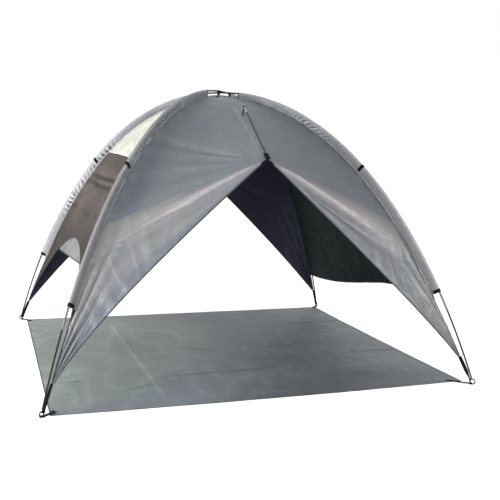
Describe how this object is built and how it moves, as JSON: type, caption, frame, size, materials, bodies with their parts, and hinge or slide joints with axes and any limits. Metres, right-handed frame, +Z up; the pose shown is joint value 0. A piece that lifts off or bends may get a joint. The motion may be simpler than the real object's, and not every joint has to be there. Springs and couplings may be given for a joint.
{
  "type": "beach tent",
  "caption": "Free-standing dome beach shelter: crossed bent poles, silver canopy in sleeves, open front and rear doors with eave rods, arched window wall and ground mat.",
  "frame": {"origin": "on the ground, at the middle of the feet", "axes": "+Z up; the front door faces -Y; the window wall is on the -X side"},
  "size_m": [2.1266, 2.1266, 1.4772],
  "materials": {
    "pole": "dark grey-green glass fibre, satin, with bright ferrules",
    "rod": "dark glass fibre, satin",
    "rod_tip": "drawn, bright",
    "shock_cord": "braided, matt",
    "ring_pin": "zinc plated",
    "silver_cloth": "silver-coated woven cloth, dark inside, soft sheen",
    "sleeve_cloth": "silver-coated woven cloth, gathered along the seam",
    "bright_cloth": "thin pale cloth",
    "window_cloth": "brown-grey mottled cloth",
    "lining": "pale grey cloth",
    "webbing": "black woven webbing",
    "mat": "coated woven ground sheet"
  },
  "bodies": {
    "tent": {"corner_strap_far_left": "webbing", "corner_strap_far_right": "webbing", "corner_strap_near_left": "webbing", "corner_strap_near_right": "webbing", "crown_patch": "silver_cloth", "crown_tie": "webbing", "front_apex_pocket": "webbing", "front_panel": "silver_cloth", "front_rod_sling": "webbing", "ground_mat": "mat", "guy_band_far_left": "webbing", "guy_band_far_right": "webbing", "guy_band_near_left": "webbing", "guy_band_near_right": "webbing", "left_wall_lining": "lining", "left_wall_lower": "window_cloth", "left_wall_upper": "bright_cloth", "mat_tab_far_left": "webbing", "mat_tab_far_right": "webbing", "mat_tab_near_left": "webbing", "mat_tab_near_right": "webbing", "pole_a_section_1": "pole", "pole_a_section_2": "pole", "pole_a_section_3": "pole", "pole_a_section_4": "pole", "pole_a_section_5": "pole", "pole_a_section_6": "pole", "pole_a_section_7": "pole", "pole_b_section_1": "pole", "pole_b_section_2": "pole", "pole_b_section_3": "pole", "pole_b_section_4": "pole", "pole_b_section_5": "pole", "pole_b_section_6": "pole", "pole_b_section_7": "pole", "rear_apex_pocket": "webbing", "rear_panel": "silver_cloth", "rear_rod_sling": "webbing", "right_wall": "silver_cloth", "ring_pin_far_left": "ring_pin", "ring_pin_far_right": "ring_pin", "ring_pin_near_left": "ring_pin", "ring_pin_near_right": "ring_pin", "shock_cord_a": "shock_cord", "shock_cord_b": "shock_cord", "sleeve_cuff_far_left": "webbing", "sleeve_cuff_far_right": "webbing", "sleeve_cuff_near_left": "webbing", "sleeve_cuff_near_right": "webbing", "sleeve_far_left": "sleeve_cloth", "sleeve_far_right": "sleeve_cloth", "sleeve_near_left": "sleeve_cloth", "sleeve_near_right": "sleeve_cloth"},
    "front_rod": {"front_eave_rod": "rod", "front_eave_rod_tip": "rod_tip"},
    "rear_rod": {"rear_eave_rod": "rod", "rear_eave_rod_tip": "rod_tip"}
  },
  "joints": [
    {"name": "front_rod_slide", "type": "slide", "parent": "tent", "child": "front_rod", "axis": [0, 0.8432, 0.5376], "range_m": [0, 0.045]},
    {"name": "rear_rod_slide", "type": "slide", "parent": "tent", "child": "rear_rod", "axis": [0, -0.8432, 0.5376], "range_m": [0, 0.045]}
  ]
}
